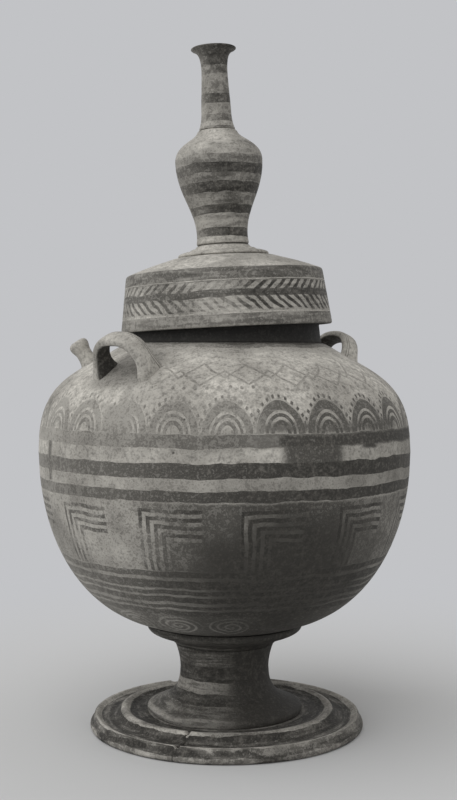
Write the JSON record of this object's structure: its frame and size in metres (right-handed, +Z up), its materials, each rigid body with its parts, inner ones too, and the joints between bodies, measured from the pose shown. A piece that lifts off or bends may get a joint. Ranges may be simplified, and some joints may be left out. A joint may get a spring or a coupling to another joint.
{
  "type": "lidded pedestal vessel",
  "caption": "Lidded pedestal vessel of painted earthenware: round belly on a flared stem and ringed foot, loop handles on the shoulder, cap lid with a vase-shaped finial.",
  "frame": {"origin": "on the ground, on the axis of the belly", "axes": "+Z up along the axis of the belly, -Y towards the viewer of the picture, +X to that viewer's right"},
  "size_m": [0.34, 0.34, 0.6242],
  "materials": {
    "painted_foot": "matte slipped earthenware with dark painted channels, worn",
    "painted_stem": "matte slipped earthenware under dark paint, scratched",
    "painted_belly": "matte slipped earthenware with painted bands and geometric motifs",
    "painted_neck": "matte dark paint over earthenware",
    "pale_slip": "matte pale slip with painted lines",
    "painted_lid": "matte slipped earthenware with a painted herringbone branch",
    "painted_finial": "matte slipped earthenware with dark painted rings"
  },
  "bodies": {
    "vessel": {"foot_plate": "painted_foot", "pedestal_stem": "painted_stem", "stem_collar": "painted_stem", "belly_bowl": "painted_belly", "belly_shoulder": "painted_belly", "neck_collar": "painted_neck", "handle_front_left": "pale_slip", "handle_back_right": "pale_slip", "shoulder_lug": "pale_slip"},
    "lid": {"lid_cap": "painted_lid", "finial_collar": "painted_finial", "finial_body": "painted_finial", "finial_neck": "painted_finial"}
  },
  "joints": [
    {"name": "lid_lift", "type": "slide", "parent": "vessel", "child": "lid", "axis": [0, 0, 1], "range_m": [0, 0.15]}
  ]
}
